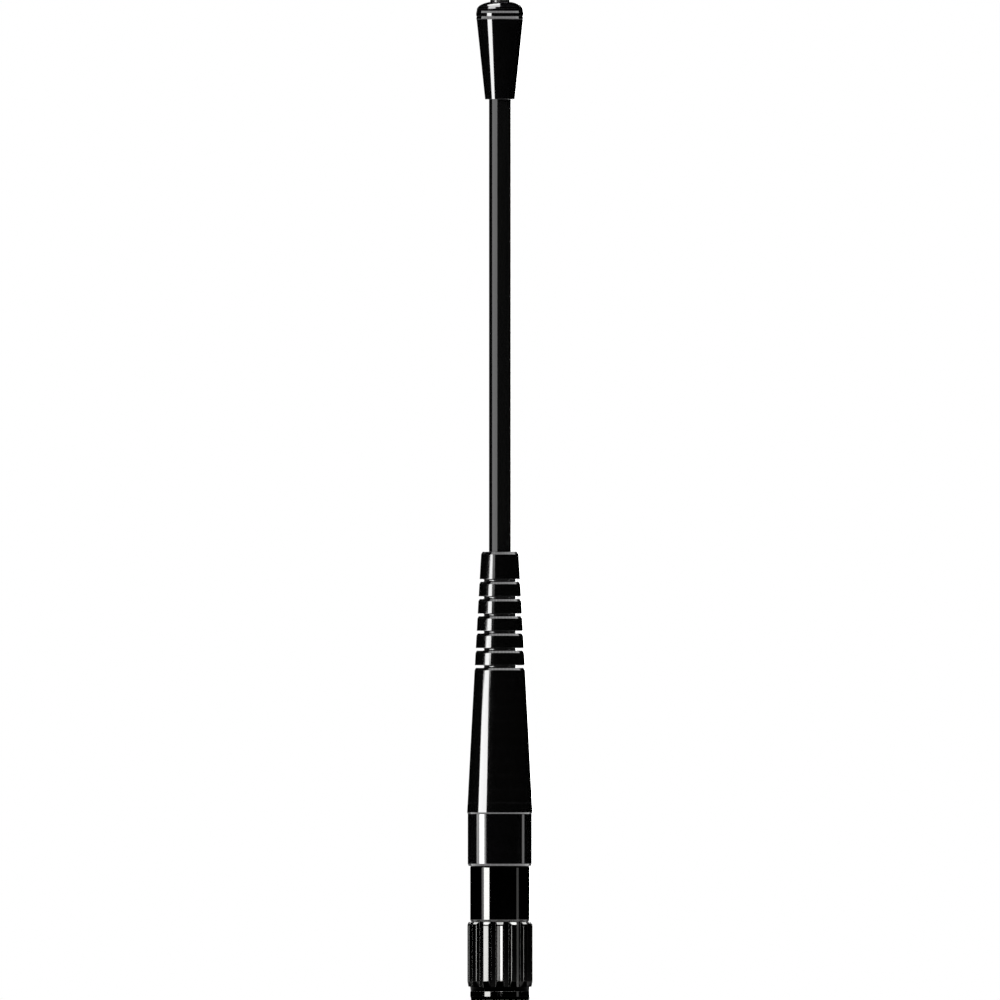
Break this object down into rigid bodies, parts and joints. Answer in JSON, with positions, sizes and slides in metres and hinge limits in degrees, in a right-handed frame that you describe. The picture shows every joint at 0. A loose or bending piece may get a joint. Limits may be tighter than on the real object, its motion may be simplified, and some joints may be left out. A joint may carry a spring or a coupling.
{
  "type": "radio whip antenna",
  "caption": "Flexible whip antenna for a portable radio, with a ribbed tapered boot and a threaded coaxial plug with a coupling nut that turns freely.",
  "frame": {"origin": "centre of the coupling nut's front face, the lowest plane of the part", "axes": "+Z along the antenna from the plug to the tip; one rib of the nut faces -Y at rest"},
  "size_m": [0.0148, 0.0148, 0.2252],
  "materials": {
    "nut_metal": "bright black plated brass",
    "body_metal": "bright black plated brass",
    "spring_metal": "phosphor bronze strip",
    "contact_metal": "nickel plated brass",
    "pin_metal": "gold flashed brass",
    "seal": "moulded silicone",
    "dielectric": "turned fluoropolymer",
    "housing_plastic": "moulded glass filled nylon, polished",
    "former_plastic": "natural nylon",
    "copper": "enamelled copper wire",
    "core_steel": "drawn spring steel",
    "sheath_plastic": "extruded polyurethane sheath",
    "boot_rubber": "moulded thermoplastic rubber, glossy",
    "cap_plastic": "moulded cap, glossy"
  },
  "bodies": {
    "antenna": {"snap_ring": "spring_metal", "outer_contact": "contact_metal", "gasket": "seal", "front_insulator": "dielectric", "rear_insulator": "dielectric", "centre_contact": "pin_metal", "connector_body": "body_metal", "coil_housing": "housing_plastic", "coil_former": "former_plastic", "loading_coil": "copper", "core_ferrule": "pin_metal", "whip_core": "core_steel", "whip_sheath": "sheath_plastic", "boot": "boot_rubber", "tip_cap": "cap_plastic", "tip_ferrule": "pin_metal"},
    "nut": {"coupling_nut": "nut_metal"}
  },
  "joints": [
    {"name": "nut_spin", "type": "hinge", "parent": "antenna", "child": "nut", "pos_m": [0, 0, 0.0125], "axis": [0, 0, 1], "continuous": true}
  ]
}
